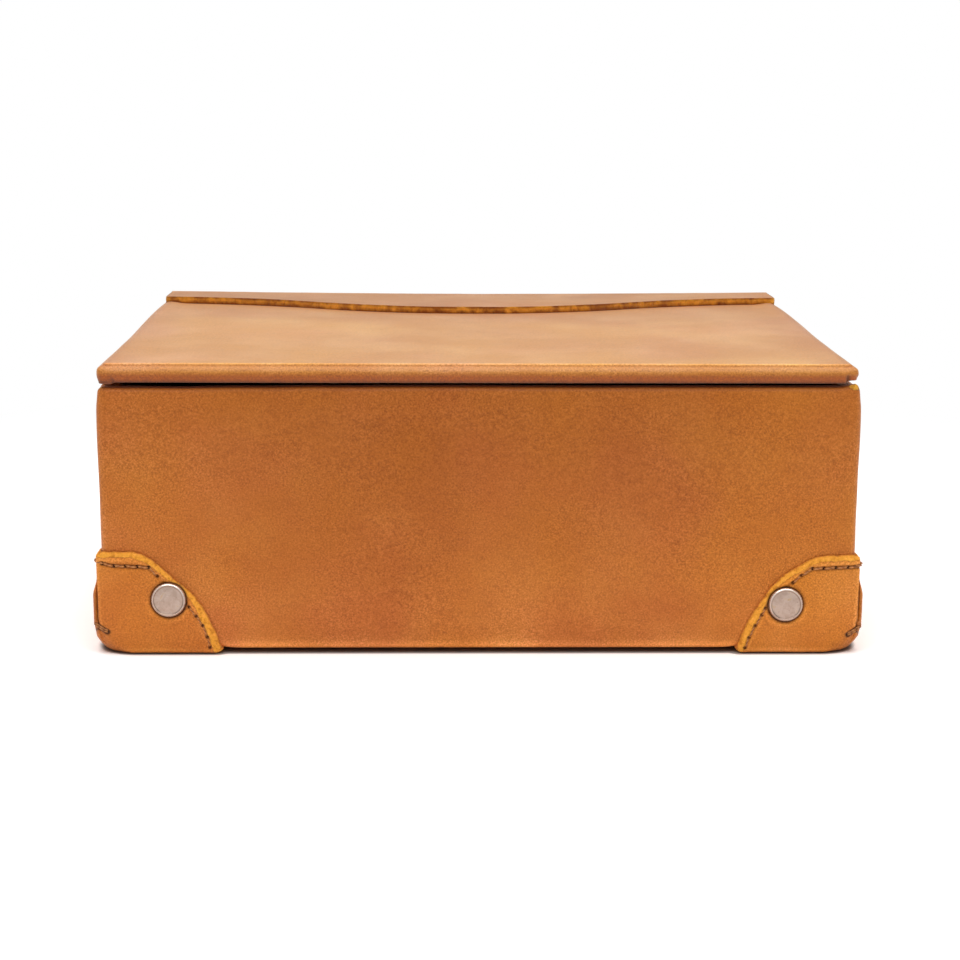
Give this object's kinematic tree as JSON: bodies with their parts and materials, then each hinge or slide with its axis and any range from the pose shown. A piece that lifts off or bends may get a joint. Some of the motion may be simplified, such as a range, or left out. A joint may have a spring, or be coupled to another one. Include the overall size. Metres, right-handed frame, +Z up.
{
  "type": "stationery box",
  "caption": "Leather-covered stationery box with a flat hinged lid, a curved leather hinge strip and stitched, riveted corner guards.",
  "frame": {"origin": "on the table, under the middle of the box", "axes": "+X to the right-hand side, +Y to the back where the hinge is, +Z up"},
  "size_m": [0.2604, 0.2124, 0.1007],
  "materials": {
    "cover_leather": "waxed tan leather, mottled, with a fine grain",
    "hinge_leather": "thick waxed tan leather with raw cut edges",
    "guard_leather": "thick waxed tan leather with raw bevelled edges",
    "thread": "waxed thread",
    "rivet_metal": "antiqued nickel, slightly worn",
    "core_board": "grey-brown pressed board",
    "suede": "brown suede"
  },
  "bodies": {
    "box": {"wall_cover": "cover_leather", "base_cover": "cover_leather", "board_front": "core_board", "board_back": "core_board", "board_left": "core_board", "board_right": "core_board", "board_floor": "core_board", "lining_floor": "suede", "lining_front": "suede", "lining_back": "suede", "lining_left": "suede", "lining_right": "suede", "guard_front_left": "guard_leather", "guard_front_right": "guard_leather", "guard_back_left": "guard_leather", "guard_back_right": "guard_leather", "thread_front_left": "thread", "thread_front_right": "thread", "thread_back_left": "thread", "thread_back_right": "thread", "rivet_caps": "rivet_metal", "rivet_posts": "rivet_metal", "hinge_leaf_back": "hinge_leather"},
    "lid": {"lid_board": "core_board", "lid_cover": "cover_leather", "lid_lining": "suede", "hinge_leaf_lid": "hinge_leather"}
  },
  "joints": [
    {"name": "lid_hinge", "type": "hinge", "parent": "box", "child": "lid", "pos_m": [0, 0.1052, 0.09155], "axis": [-1, 0, 0], "range_deg": [0, 110]}
  ]
}
